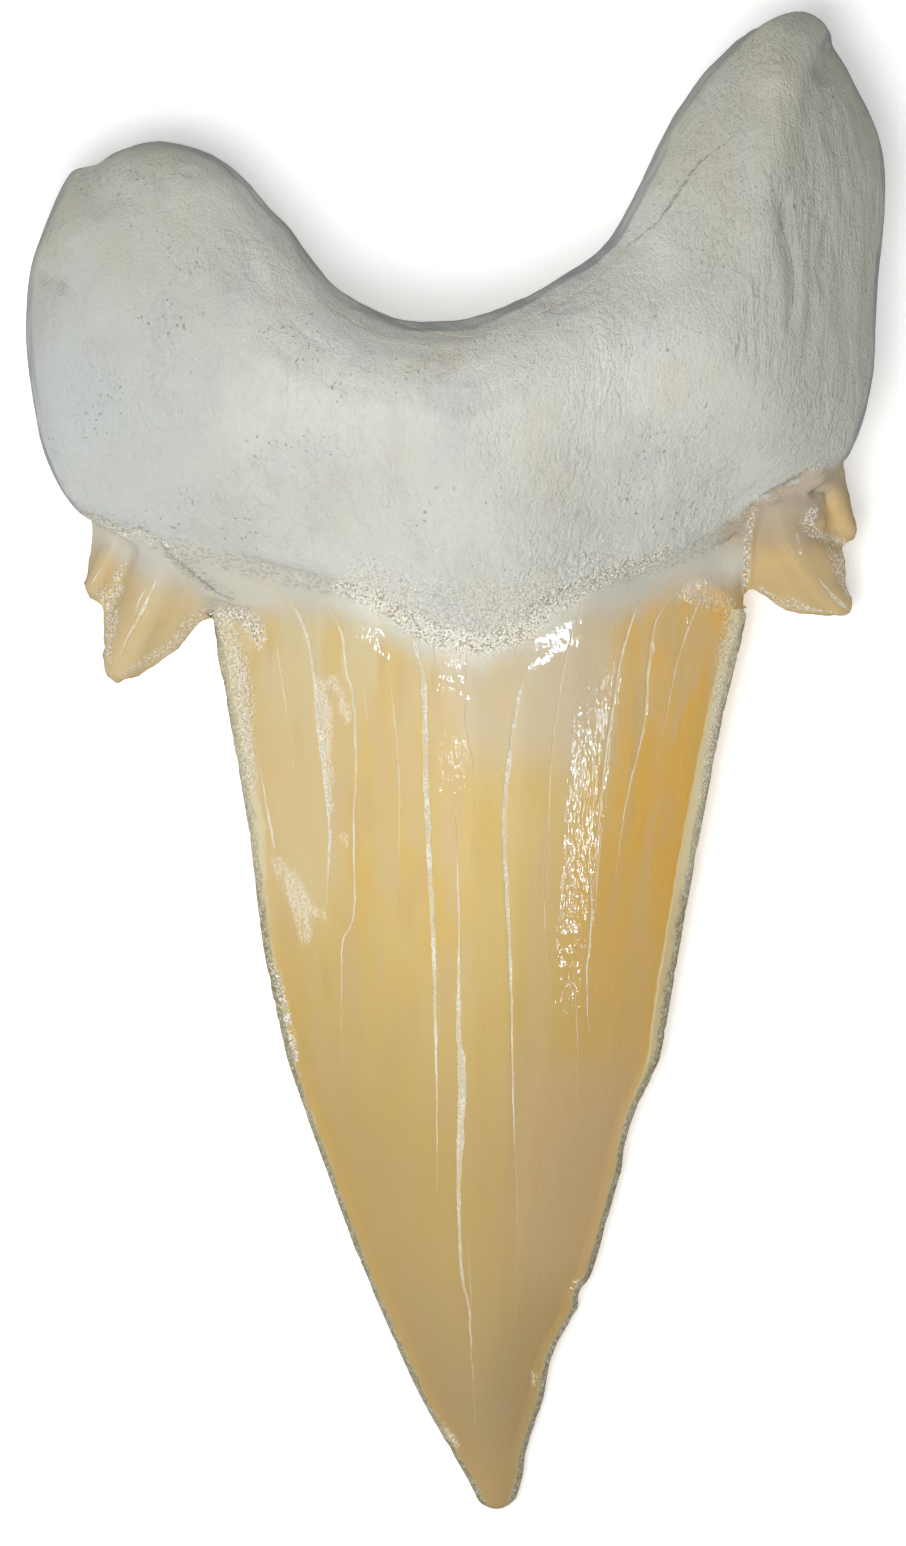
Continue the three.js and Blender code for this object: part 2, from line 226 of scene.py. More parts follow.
        [(14.6, 11.4, .3), (16, 11, .6), (17, 10.2, .8), (17.1, 9, .6), (16.6, 7.6, .3)],
        [(-14.8, 9.6, .4), (-13.8, 9.3, .5), (-12.6, 9.3, .3)],
    ],

    # Rough, wrinkled ground along the lower border of the root: x, y and half width, in mm
    "rough": [
        [(-23.4, 15.8, .5), (-21.2, 14.6, .6), (-19.2, 14, .6), (-17.5, 12.9, .6), (-15.5, 11.2, .5),
         (-13.6, 10, .35)],
        [(-18, 13.4, .5), (-15, 12.5, .7), (-12, 11.7, .7), (-9, 11, .7), (-6, 10.2, .5)],
        [(5.4, 9.8, .5), (9, 11.1, .6), (12, 12, .6), (15, 13.2, .6), (17.4, 15, .5), (20, 16.8, .5),
         (23, 18, .4)],
    ],

    # Low ridges (rise above 0) and valleys on the inner face: height, half width and path in mm
    "relief": [
        (.4, 3, [(21, 44.2), (20.1, 42.3), (19.6, 39.8), (18.9, 37.6), (18.3, 34.5), (17.95, 30.5),
         (17.4, 27.5), (17, 24.5)]),
        (.3, 1.2, [(20.6, 43.8), (19.6, 41), (18.8, 38.2), (18.2, 35.5), (17.9, 32)]),
        (-.35, .7, [(22.6, 44.2), (22.2, 42.8), (21.7, 41.4)]),
        (-.14, .7, [(21.7, 41.4), (21.2, 40.2), (20.8, 39.2)]),
        (-.18, .4, [(19.2, 33.2), (19.3, 31.5), (19.9, 29.5), (19.9, 27.5), (19.6, 26)]),
        (.4, 1.1, [(19.9, 44.6), (19.2, 42.6), (18.8, 40.8)]),
        (-.35, 1.2, [(-22, 36.4), (-21.8, 34.9), (-21.4, 33.9)]),
        (-.22, .5, [(-25, 29.4), (-22.9, 28.3), (-22.3, 27), (-21.4, 25)]),
        (.22, 1.6, [(-16, 30), (-15.2, 31.5), (-14.8, 33.4), (-15.4, 35)]),
        (-.25, 1.8, [(-12.9, 30.4), (-12, 31.6), (-11.8, 33.2)]),
        (-.16, .7, [(18.3, 16.1), (20, 16.9), (21.6, 18), (22.6, 19.6)]),
        (-.12, .3, [(-22.6, 15.1), (-19.9, 13.9), (-19, 14.1), (-17, 12.6), (-15, 10.9), (-13.8, 10.1)]),
        (.16, .28, [(-16.8, 11.8), (-15.8, 11), (-14.8, 10.25), (-14, 9.85), (-12.9, 9.55), (-11.6, 9.6)]),
        (-.22, .9, [(-16.4, 12.9), (-14, 12), (-11, 11.2), (-8.5, 10.7)]),
        (-.22, .9, [(11, 11.4), (13.5, 12), (15.6, 13.2), (17, 14.6)]),
        (.45, 1, [(-18, 10.9), (-18.9, 9), (-19.8, 7.5), (-20.8, 5.2)]),
        (-.45, .55, [(-19.8, 12.6), (-20.4, 11.3), (-20.5, 10.5), (-21.2, 9.7)]),
        (.25, .5, [(-20.9, 12.6), (-21.7, 11.2), (-22.2, 10.4)]),
        (.4, .9, [(19.6, 13.5), (21, 11.7), (22.2, 10.5), (23.6, 9.2)]),
        (-.15, .45, [(21.4, 15.4), (21, 14.4), (21.6, 13.6), (23.2, 13.4)]),
        (.35, .8, [(20.6, 15.2), (21, 14), (21.6, 13), (22.4, 12.2)]),
        (.55, .6, [(21.6, 17), (21.5, 16.2), (21.35, 15.4), (21.3, 14.6)]),
        (.25, .5, [(22.8, 16.4), (23.3, 15.2), (23.7, 14)]),
        (-.3, .35, [(17.9, 15.2), (17.5, 14.2), (17.35, 12.4), (17.3, 10.6)]),
    ],

    # Small corrections of the outline: x, y, reach and shift along x and y, in mm
    "nudges": [
        (-21.9, 36.6, .8, .1, -.35), (22.1, 43.9, .7, .35, .05), (20.6, 45, .8, 0, -.12),
        (-22.4, 14.9, .7, -.25, 0), (-15.1, 9.3, .8, 0, -.2), (-16.8, 7.6, .9, .05, -.15),
        (-21, 5, .8, .12, .2), (23.9, 9, .7, -.15, .12), (19.8, 9.6, 1, 0, -.15), (23.3, 12, .8, .15, 0),
        (2, -44.8, 1.5, 0, -.25),
    ],

    # The cusplets lie left of the first x and below its y, or right of the second x and below its y, in mm
    "cusplets": {
        "finer": (-14.6, 14.5, 17.2, 16.5),
        "painted": (-14.9, 15, 17.5, 17),
        "smoothed": (-15.2, 14.5, 17.6, 17),
    },

    # An area is given as soft steps: what is measured, where the area starts and where it is full. Lengths
    # are in mm, up is how far the surface looks up, and level is how level it lies, either way up.

    # Worn smooth, with the number of passes: the step under the root, the break in slope beside the cutting
    # edges and the fold between the right cusplets
    "wear": [
        (60, [("fromStep", 2.9, 1.1), ("up", .35, .6), ("x", -22.5, -19), ("x", 20, 17.4)]),
        (70, [("fromEdge", .1, .5), ("fromEdge", 3.6, 2.4), ("up", .2, .4), ("y", 9, 7)]),
        (40, [("fromFold", 2.2, 1.2), ("up", .3, .6)]),
    ],
    # Where the shape has its own lumps, ridges, lip or shrink
    "shapeAreas": {
        "root": [("rootEdge", -.2, .5)],
        "enamel": [("enamelEdge", -.3, .3)],
        "inner": [("up", .15, .55)],
        "lip": [("enamelEdge", 2.2, -.3), ("rootEdge", .6, -.4), ("up", .15, .55), ("aside", 15, 9)],
        "flank": [("x", 17.2, 19.5), ("y", 17, 20), ("y", 42, 36), ("up", .15, .55)],
    },
    "rootSides": [("level", .7, .2), ("y", 16, 20)],
    # Low lumps: area, height, width along x, y and z in mm, and seed
    "lumps": [
        ("root", .2, (7, 9, 7), 1.3), ("root", .14, (2.2, 4, 2.2), 4.1),
        ("root", .045, (.8, 3.2, .8), 8.2), ("flank", .13, (.9, 4.5, 1.5), 2.6),
        ("flank", .07, (.5, 2.2, .8), 7.1), ("enamel", .03, (2.5, 7, 2.5), 5.5),
    ],
    # Areas that the tones below are laid on: value outside, value inside and the steps between them
    "crestSoftness": (.8, 2.3, [("y", 34, 27)]),      # mm, how softly the painted shade of the flank sets in past the crest
    "neckStart": (11.5, 16.5, [("x", 21, 22.8)]),     # mm, where the brown neck of the right cusplets starts
    "colourAreas": {
        "amber": (0, 1, [("x", 4, 12.5), ("y", -22, -6)]),
        "side": (0, 1, [("aside", 4, 10)]),
        "outward": (0, 1, [("aside", 9, 18)]),
        # flank and flankEnd lay painted shade on the flank of the longer lobe that turns away from the light,
        # fading towards its tip
        "flank": (0, 1, [("pastCrest", -1, 1), ("y", 16, 19)]),
        "flankEnd": (.5, 1, [("y", 44.5, 41.5)]),
        "leftSide": (0, 1, [("x", -7, -25), ("y", 40, 20)]),
        "moss": (0, 1, [("x", 8, 14), ("y", 26, 38)]),
        "leftMoss": (0, .8, [("x", -12, -18), ("y", 22, 31)]),
        "neck": (0, 1, [("x", 15, 16.6), ("pastNeck", 0, 2.5)]),
        "leftCream": (0, 1, [("x", -5, -9), ("y", -13, -5), ("y", 8, 3)]),
        "topCream": (0, 1, [("x", -2.5, 1.5), ("x", 12, 7), ("y", -3, 3)]),
        "lowAmber": (0, 1, [("x", 3, 9), ("y", -26, -15), ("y", 0, -8)]),
        "lowMauve": (0, 1, [("x", 1.5, 5.5), ("y", -36, -27), ("y", -14, -22)]),
        "lowFlank": (0, 1, [("fromEdge", 3, .3), ("y", -16, -34)]),
        "pink": (0, 1, [("rootEdge", -1.3, -.3), ("aside", 6, 9)]),
        "texture": (.7, 1, [("x", -9, 6)]),
    },

    "colours": {
        "root": "#D7D8D0", "rootShade": "#C3C4BA", "rootWarm": "#CFCAB5", "rootCool": "#C2C8C7",
        "rootSide": "#BEC3C6", "rootMoss": "#C4C2AC", "rootMauve": "#C6BCBE", "flank": "#AFAFA5",
        "rim": "#7D848C", "pit": "#7F7D72", "crease": "#908E85", "neckBrown": "#AE9C84",
        "collar": "#E0DDD0", "collarCool": "#D2D6CE", "collarPink": "#C8BFB6", "collarSide": "#BFBCAF",
        "enamel": "#D8BC79", "enamelTop": "#D8C79C", "enamelLow": "#B89D63", "enamelTip": "#A8926C",
        "enamelFlank": "#AE935F", "amber": "#E4B04A", "warm": "#DCAA4A", "honey": "#D7B564",
        "beige": "#D3BA8B", "mauve": "#CAAC7E", "lowMauve": "#CDAD88", "milk": "#DAC798",
        "cream": "#D3C6AE", "stain": "#8F7A4C", "cusp": "#CDB78B", "chalk": "#E5DDCB", "edge": "#D7CDA8",
        "edgeLow": "#C6B584", "edgeTip": "#97885C", "edgeRim": "#A39D80", "rimLow": "#716A4C",
        "edgeLine": "#E4CF9C", "grit": "#EFECE2", "gritDark": "#ABA38A", "crack": "#EAE4D2",
        "crackWarm": "#DECCA6", "crackCore": "#C6C3B3",
    },
    # Patterns: width of a lump along x, y and z in mm, octaves and roughness. A pattern's place in the list
    # is its seed. Powder, nibble, speck and grit stand for dust finer than .05 mm, which wouldn't show, and
    # are drawn as coarse as they need to.
    "patterns": {
        "cloud": ((9, 12, 9), 2, .5), "warmCloud": ((5, 7, 5), 2, .5), "coolCloud": ((4, 6, 4), 2, .5),
        "mauveCloud": ((2.4, 3.2, 2.4), 2, .5), "vein": ((1.1, 1.7, 1.1), 3, .6),
        "fibre": ((.22, 2.6, .22), 3, .6), "powder": ((.13, .16, .13), 2, .6),
        "worn": ((.34, .9, .34), 3, .55), "pits": ((.21, .28, .21), 0, .5), "pitArea": ((4, 4, 4), 1, .5),
        "collarCloud": ((2.5, 2.5, 2.5), 2, .5), "honeyStreak": ((2.6, 8, 2.6), 2, .5),
        "beigeStreak": ((2.2, 11, 2.2), 2, .5), "mauveStreak": ((1.7, 7, 1.7), 1, .5),
        "milkCloud": ((3.5, 9, 3.5), 3, .5), "fineStreak": ((.35, 9, .35), 2, .5),
        "ragged": ((.6, .6, .6), 3, .5), "nibble": ((.12, .2, .12), 2, .5),
        "edgeNibble": ((.4, 1, .4), 3, .5), "speck": ((.15, .15, .15), 1, .5),
        "patchy": ((.25, .25, .25), 2, .5), "wrinkle": ((.3, .16, .3), 2, .5),
        "smear": ((.7, 2, .7), 3, .5), "grit": ((.14, .2, .14), 2, .5), "growth": ((1.2, .2, 1.2), 1, .5),
        "ripple": ((.5, 1.6, .5), 2, .5), "glint": ((.36, .9, .36), 1, .5), "wornArea": ((5, 7, 5), 2, .5),
        "dents": ((.8, 1.4, .8), 3, .55),
    },
    # Borders and distances made ragged: pattern, how far it moves them in mm and the field
    "ragged": {
        "rootBorder": ("ragged", 1.8, "rootEdge"), "enamelBorder": ("ragged", .6, "enamelEdge"),
        "leftRagged": ("edgeNibble", .9, "leftBand"), "rightRagged": ("edgeNibble", .25, "rightBand"),
        "rimBorder": ("edgeNibble", .8, "fromEdge"),
    },
    # Masks: what each is read from, from, to, the values there and the area or mask that it is kept to
    "masks": {
        "rootMask": ("rootBorder", -.3, .45, 0, 1, None),
        "enamelMask": ("enamelBorder", -.9, 1.9, 0, 1, None),
        "polished": ("enamelBorder", -.3, .6, 0, 1, None),
        "wornRoot": ("wornArea", .42, .6, .45, 1, "texture"),
        "mossMask": ("milkCloud", .36, .6, 0, 1, "moss"), "pitAreas": ("pitArea", .5, .66, 0, 1, None),
        "pitMask": ("pits", .74, .8, 0, 1, "pitAreas"), "veinAreas": ("wornArea", .46, .58, 0, 1, None),
        "veinMask": ("fromVein", .016, .004, 0, 1, "veinAreas"),
        "creaseMask": ("patchy", .42, .56, .35, 1, "creaseLine"),
        "roughMask": ("wrinkle", .48, .62, 0, 1, "rough"), "edgeMask": ("bothBands", -.18, .22, 0, 1, None),
        "lowEdgeMask": ("along", -3, -12, 0, 1, "edgeMask"),
        "tipEdgeMask": ("along", -17, -28, 0, 1, "edgeMask"),
        "rimMask": ("rimBorder", .6, .15, 0, 1, "edgeMask"),
        "lowRimMask": ("along", -3, -12, 0, 1, "rimMask"), "upperLine": ("along", -22, -14, 0, 1, None),
        "edgeLineMask": ("fromBand", .11, .03, 0, 1, "upperLine"),
        "thinChalk": ("smear", .36, .54, .35, 1, "chalky"),
        "chalkMask": ("nibble", .32, .6, .05, 1, "thinChalk"),
        "coreMask": ("speck", .56, .44, 0, .9, "crackCores"),
        "dullness": ("smear", .35, .7, .85, .95, None),
    },
    # Tones laid over each ground colour in turn: pattern, area or mask, from, to, share and colour
    "tones": {
        "root": [
            ("cloud", .38, .7, .38, "rootShade"), ("worn", .48, .68, .25, "rootShade"),
            ("warmCloud", .5, .72, .55, "rootWarm"), ("coolCloud", .5, .72, .45, "rootCool"),
            # painted shade: outward, along and leftSide make the root darker towards its sides, its lower
            # part and its left edge
            ("mauveCloud", .52, .72, .35, "rootMauve"), ("outward", 0, 1, .65, "rootShade"),
            ("along", 24, 15, .35, "rootShade"), ("leftSide", 0, 1, .55, "rootSide"),
            # flank: painted shade on the flank that turns away from the light
            ("mossMask", 0, 1, .55, "rootMoss"), ("flank", 0, 1, .52, "flank"),
            ("fibre", .5, .75, .35, "rootShade"), ("powder", .55, .75, .35, "rootShade"),
            # painted shade: pitMask, creaseMask and roughMask darken the pits, creases and wrinkles
            ("pitMask", 0, 1, .45, "pit"), ("veinMask", 0, 1, .1, "pit"),
            ("creaseMask", 0, 1, .6, "crease"), ("roughMask", 0, 1, .2, "crease"),
            # painted shade: facingUp darkens the root where its surface turns sideways, bluish grey (rim) at
            # the outline and rootShade further down the side walls
            ("facingUp", .46, .15, .62, "rim"), ("facingUp", .3, -.3, .75, "rootShade"),
        ],
        "collar": [
            ("collarCloud", .35, .65, 1, "collarCool"), ("side", 0, 1, .8, "collarSide"),
            # pink: a pinkish band just under the root's edge, partly its own tint and partly painted shade
            # under the root
            ("pink", 0, 1, .3, "collarPink"), ("roughMask", 0, 1, .4, "crease"),
            # creaseMask and the roughMask above darken creases and wrinkles: painted shade
            ("neck", 0, 1, .7, "neckBrown"), ("creaseMask", 0, 1, .5, "crease"),
        ],
        "enamel": [
            ("along", 0, 8, 1, "enamelTop"), ("amber", 0, 1, .85, "amber"),
            ("honeyStreak", .48, .62, .55, "honey"), ("beigeStreak", .5, .62, .55, "beige"),
            ("mauveStreak", .56, .7, .4, "mauve"), ("milkCloud", .45, .75, .3, "milk"),
            ("fineStreak", .6, .85, .2, "milk"), ("along", -2, -27, .85, "enamelLow"),
            ("along", -26, -42, .85, "enamelTip"), ("leftCream", 0, 1, .5, "enamelTop"),
            # topCream pales the upper middle of the blade: partly its cream tone, partly a painted milky
            # sheen
            ("topCream", 0, 1, .6, "cream"), ("lowAmber", 0, 1, .35, "warm"),
            ("lowMauve", 0, 1, .5, "lowMauve"), ("lowFlank", 0, 1, .1, "enamelFlank"),
            ("fromEdge", 2.8, .4, .18, "warm"), ("stained", 0, 1, .55, "stain"),
            ("chalkMask", 0, 1, .75, "chalk"), ("cusp", 0, 1, .75, "cusp"),
            # creaseMask darkens the creases: painted shade
            ("neck", 0, 1, .65, "neckBrown"), ("creaseMask", 0, 1, .4, "crease"),
            ("edgeMask", 0, 1, .9, "edge"), ("lowEdgeMask", 0, 1, .9, "edgeLow"),
            ("tipEdgeMask", 0, 1, .9, "edgeTip"), ("rimMask", 0, 1, .65, "edgeRim"),
            ("lowRimMask", 0, 1, .55, "rimLow"), ("edgeLineMask", 0, 1, .8, "edgeLine"),
        ],
        "gritDark": [("speck", .42, .58, 1, "grit")],
        "crackWarm": [("smear", .42, .58, 1, "crack")],
    },
    # Finish; polish is how much smoother the enamel is than the dull ground
    "finish": {"ior": 1.55, "specular": .15, "coat": .9, "coatRoughness": .06, "coatIor": 1.6, "polish": .3},
    # Fine relief: pattern, height in mm and the mask that it is kept to
    "fineRelief": [
        ("fibre", .11, "fibrous"), ("worn", .2, "fibrous"), ("powder", .08, "rootMask"),
        ("pitMask", -.06, "rootMask"), ("dents", .16, "rootMask"), ("grit", .03, "dullMask"),
        ("growth", .004, "glossMask"), ("ripple", .03, "glossMask"), ("glint", .017, "glossMask"),
        ("crackMask", -.03, "crackMask"), ("creaseMask", -.035, "creaseMask"),
        ("veinMask", -.015, "rootMask"), ("speck", .05, "gritMask"), ("wrinkle", -.12, "rough"),
    ],
}

sand = {
    "size": (0.07, 0.14),   # mm, length of a grain
    "breadth": (0.6, 0.95),     # share of the length
    "height": (0.5, 0.8),       # share of the length
    "sunk": 0.12,           # share of a grain that is sunk in the surface
    "steepest": 0.55,       # no grains where the surface looks up less than this
    "spread": (0.62, 1.4),      # spread across a strip and its limit, in half widths
    "more": 2.8,            # times the density of each strip
    "flecks": 14,           # duller and shinier flecks per mm
    "seed": 11,
    # Where it still clings: grains per mm2, then x, y and half width along the strip in mm
    "strips": [
        (9, [(-7, 10.6, .5), (-4.6, 9.6, .7), (-2.6, 8.4, .8), (-.8, 7.6, .8), (1.4, 7.2, .8),
         (3.4, 7.8, .9), (5.4, 9.3, .8), (7.6, 10.6, .7), (9.4, 11.4, .6), (11, 12, .5),
         (12.6, 12.7, .3)]),
        (3.5, [(-5.4, 11.2, 1.2), (-2.6, 9.8, 1.5), (.6, 9.2, 1.7), (3.6, 9.6, 1.6), (6.4, 11.2, 1.3),
         (9.6, 12.6, .8)]),
        (5, [(-22.2, 14.9, .25), (-19.9, 13.9, .3), (-18, 13.5, .3), (-16.6, 12.2, .2)]),
        (7, [(-21.1, 10.3, .5), (-20.7, 9.2, .45), (-20.9, 7.6, .3), (-21, 6.2, .15)]),
        (7, [(-19.9, 12, .15), (-20.4, 11.2, .25), (-20.3, 10.2, .35), (-21.6, 10.3, .2)]),
        (5, [(-20, 5.5, .15), (-18.4, 6.4, .3), (-17, 7.3, .35), (-16, 8.5, .45), (-15, 9.3, .3)]),
        (10, [(-14.2, 9, .45), (-12.9, 8.9, .6), (-12, 7.9, .6), (-11.8, 7.2, .3)]),
        (9, [(17.8, 15.2, .15), (17.5, 14.2, .2), (17.4, 12.4, .2), (17.4, 10.9, .25)]),
        (8, [(21.3, 15.2, .3), (21, 14.2, .45), (21.8, 13.6, .3), (23.2, 13.4, .2)]),
        (8, [(22.6, 13, .5), (22.9, 12, .5), (23.3, 11, .3), (23.6, 10, .1)]),
        (6, [(18.2, 10.5, .25), (19, 9.9, .35), (20.2, 9.6, .35), (21.4, 9.3, .15), (22.8, 9.1, .08)]),
        (6, [(-14.1, 8.6, .6), (-13.3, 6.4, .7), (-12.9, 4.3, .7), (-12.8, 2.2, .6), (-12.6, .2, .5),
         (-12.3, -1.8, .15)]),
        (9, [(-11.3, -11.8, .12), (-10.7, -13.6, .25), (-10.2, -15.6, .25), (-9.7, -17.8, .12)]),
        (4, [(13.4, 10.2, .3), (15, 9.8, .5), (16.4, 9.4, .5), (16.5, 7.8, .7), (16.1, 6.2, .6),
         (15.9, 4.4, .4)]),
        (6, [(15.9, 4.4, .3), (15.5, 2, .3), (14.9, -2, .3), (14.5, -6, .22), (13.9, -9.6, .15)]),
    ],
    "tints": [(0, "#7C7459"), (.2, "#A89C80"), (.4, "#D2CABC"), (.7, "#EAE7E0"), (1, "#FBF9F6")],
}


def densePath(path, step=0.25, wander=0.05):
    # a smooth path through the points, with the small wander that a real crack has
    points = np.array([(*p, 0.0)[:3] for p in path], float)
    padded = np.vstack([2 * points[0] - points[1], points, 2 * points[-1] - points[-2]])
    dense = []
    for before, here, after, beyond in zip(padded, padded[1:], padded[2:], padded[3:]):
        count = max(2, int(np.hypot(*(after - here)[:2]) / step))
        for t in np.arange(count) / count:
            dense.append(0.5 * (2 * here + (after - before) * t + (2 * before - 5 * here + 4 * after - beyond)
                                * t ** 2 + (3 * here - before - 3 * after + beyond) * t ** 3))
    dense = np.array(dense + [points[-1]])
    x, y = dense[:, 0].copy(), dense[:, 1]
    dense[:, 0] += wander * noiseAt(np.column_stack([x * 3, y, x]), (1, .7, 1), 3.7)
    x = dense[:, 0]
    dense[:, 2] *= 1 + 0.25 * noiseAt(np.column_stack([y, x, x]), (.5, 1, 1), 9.1)
    return dense


def nearPath(plan, path, reach):
    # the points within reach of a path, their signed distance to it and the path's third value there
    low, high = path[:, :2].min(0) - reach, path[:, :2].max(0) + reach
    close = np.where(((plan > low) & (plan < high)).all(1))[0]
    if not len(close):
        return close, np.zeros(0), np.zeros(0)
    start, along = path[:-1, :2], np.diff(path[:, :2], axis=0)
    offset = plan[close][:, None] - start
    share = np.clip((offset * along).sum(2) / (along ** 2).sum(1), 0, 1)
    away = offset - share[..., None] * along
    distance = np.hypot(away[..., 0], away[..., 1])
    best = distance.argmin(1)
    rows = np.arange(len(close))
    across = along[best, 0] * away[rows, best, 1] - along[best, 1] * away[rows, best, 0]
    value = path[best, 2] + share[rows, best] * (path[best + 1, 2] - path[best, 2])
    signed = np.where(across < 0, -1.0, 1.0) * distance[rows, best]
    return close, signed, value


def lineField(plan, paths, reach=0.8):
    # signed distance to the nearest of the paths, and its half width there, which fades out before the reach
    side = np.full(len(plan), reach)
    half = np.zeros(len(plan))
    for path in paths:
        close, signed, width = nearPath(plan, densePath(path), reach)
        better = np.abs(signed) < np.abs(side[close])
        side[close[better]] = signed[better]
        half[close[better]] = 0.5 * tooth["lineWiden"] * width[better]
    return side, half * smoothStep(0.75 * reach, 0.5 * reach, np.abs(side))


def areaShare(steps, measures):
    # from 0 to 1, as far as all the soft steps allow
    share = 1.0
    for name, start, full in steps:
        share = share * smoothStep(start, full, measures[name])
    return share


def areaValue(area, measures):
    # from the value outside the area to the one inside
    outside, inside, steps = area
    return outside + (inside - outside) * areaShare(steps, measures)


def onCusplets(x, y, use):
    leftX, leftY, rightX, rightY = tooth["cusplets"][use]
    return ((x < leftX) & (y < leftY)) | ((x > rightX) & (y < rightY))


def meshArrays(mesh):
    points = np.empty(len(mesh.vertices) * 3, np.float32)
    mesh.vertices.foreach_get("co", points)
    normals = np.empty(len(mesh.vertices) * 3, np.float32)
    mesh.vertex_normals.foreach_get("vector", normals)
    return points.reshape(-1, 3).astype(float) / mm, normals.reshape(-1, 3).astype(float)


def edgeEnds(mesh):
    ends = np.empty(len(mesh.edges) * 2, np.int32)
    mesh.edges.foreach_get("vertices", ends)
    return ends.reshape(-1, 2).T


def putPoints(mesh, points):
    points[:, 2] = np.maximum(points[:, 2], tooth["floorGap"])
    mesh.vertices.foreach_set("co", (points * mm).astype(np.float32).ravel())
    mesh.update()


def addAttribute(mesh, name, values):
    layer = mesh.attributes.new(name, "FLOAT", "POINT")
    layer.data.foreach_set("value", np.asarray(values, np.float32))


def applyModifiers(piece):
    graph = bpy.context.evaluated_depsgraph_get()
    made = bpy.data.meshes.new_from_object(piece.evaluated_get(graph))
    piece.modifiers.clear()
    piece.data = made
    made.name = piece.name


def relax(mesh, passes, share, factors):
    # moves each point towards the middle of its neighbours; a second, negative factor keeps the volume
    points, _ = meshArrays(mesh)
    a, b = edgeEnds(mesh)
    count = np.bincount(a, minlength=len(points)) + np.bincount(b, minlength=len(points))
    for _ in range(passes):
        for factor in factors:
            total = np.zeros_like(points)
            for axis in range(3):
                total[:, axis] = (np.bincount(a, points[b, axis], len(points))
                                  + np.bincount(b, points[a, axis], len(points)))
            points += factor * share[:, None] * (total / count[:, None] - points)
    putPoints(mesh, points)


def evenSkin():
    # a merged copy of the CAD tooth, remeshed into even small quads, coarser on the hidden side
    merged = bmesh.new()
    merged.from_mesh(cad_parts["tooth"].data)
    bmesh.ops.remove_doubles(merged, verts=merged.verts, dist=0.001 * mm)
    mesh = bpy.data.meshes.new("tooth_skin")
    merged.to_mesh(mesh)
    merged.free()
    skin = bpy.data.objects.new("tooth_skin", mesh)
    scene.collection.objects.link(skin)
    remesh = skin.modifiers.new("evenGrain", "REMESH")
    remesh.mode = "VOXEL"
    remesh.voxel_size = tooth["voxel"] * mm
    applyModifiers(skin)

    points, normals = meshArrays(skin.data)
    level = smoothStep(0.25, 0.6, np.abs(normals[:, 2]))
    share = np.maximum(np.maximum(level, smoothStep(12, 16, points[:, 1])), tooth["uprightShare"])
    relax(skin.data, tooth["smoothPasses"], share, tooth["smoothFactors"])

    points, normals = meshArrays(skin.data)
    lookDown = normals[:, 2] < tooth["hiddenBelow"]
    hidden = skin.vertex_groups.new(name="hidden")
    for i in np.where(lookDown & (points[:, 2] < tooth["hiddenTop"]))[0]:
        hidden.add([int(i)], 1.0, "REPLACE")
    thin = skin.modifiers.new("coarseUnderside", "DECIMATE")
    thin.ratio = 1 - (1 - tooth["undersideKeep"]) * float(lookDown.mean())
    thin.vertex_group = "hidden"
    thin.vertex_group_factor = 1.0
    applyModifiers(skin)
    skin.vertex_groups.clear()
    return skin


def bladeOutline():
    # left and right edge of the CAD blade on even rows
    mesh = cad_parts["tooth"].data
    points, _ = meshArrays(mesh)
    a, b = edgeEnds(mesh)
    (fromX, fromY, _), (toX, toY, _) = points[a].T, points[b].T
    farLeft, farRight, top = tooth["bladeReach"]
    rows = np.arange(-44.7, top, 0.2)
    edges = []
    for row in rows:
        crossing = (fromY - row) * (toY - row) < 0
        share = (row - fromY[crossing]) / (toY[crossing] - fromY[crossing])
        x = fromX[crossing] + share * (toX[crossing] - fromX[crossing])
        x = x[(x > farLeft) & (x < farRight)]
        edges.append((x.min(), x.max()))
    left, right = np.array(edges).T
    return rows, left, right


def bladeDistances(x, y):
    # how far inside the left and the right cutting edge, and whether the point is on the blade at all
    rows, left, right = outline
    farLeft, farRight, top = tooth["bladeReach"]
    onBlade = (y < top) & (x > farLeft) & (x < farRight)
    return x - np.interp(y, rows, left), np.interp(y, rows, right) - x, onBlade


def wearSmooth(mesh):
    # the low step under the root, the bevels of the blade and one fold between cusplets
    points, normals = meshArrays(mesh)
    x, y, _ = points.T
    rootLine, enamelLine = curveThrough(tooth["rootLine"])(x), curveThrough(tooth["enamelLine"])(x)
    fromLeft, fromRight, _ = bladeDistances(x, y)
    foldX, foldY = tooth["foldCentre"]
    measures = {
        "x": x, "y": y, "up": normals[:, 2],
        "fromStep": np.maximum(y - rootLine, np.minimum(enamelLine, rootLine) - y),
        "fromEdge": np.minimum(fromLeft, fromRight),
        "fromFold": np.hypot(x - foldX, y - foldY),
    }
    for passes, steps in tooth["wear"]:
        relax(mesh, passes, areaShare(steps, measures), tooth["wearFactors"])


def cutFiner(skin):
    # finer faces along the cracks and on the cusplets, so that their grooves and ridges are real
    points, normals = meshArrays(skin.data)
    x, y, _ = points.T
    near = onCusplets(x, y, "finer") & (normals[:, 2] > -0.2)
    for name in ("crack", "crackBeside"):
        side, half = lineField(points[:, :2], tooth["lines"][name])
        near |= (half > tooth["grooveFrom"]) & (np.abs(side) < half + 0.12) & (normals[:, 2] > 0.1)
    cut = bmesh.new()
    cut.from_mesh(skin.data)
    faces = [f for f in cut.faces if sum(near[v.index] for v in f.verts) >= 2]
    edges = {e for f in faces for e in f.edges}
    bmesh.ops.subdivide_edges(cut, edges=list(edges), cuts=1, use_grid_fill=True)
    cut.to_mesh(skin.data)
    cut.free()


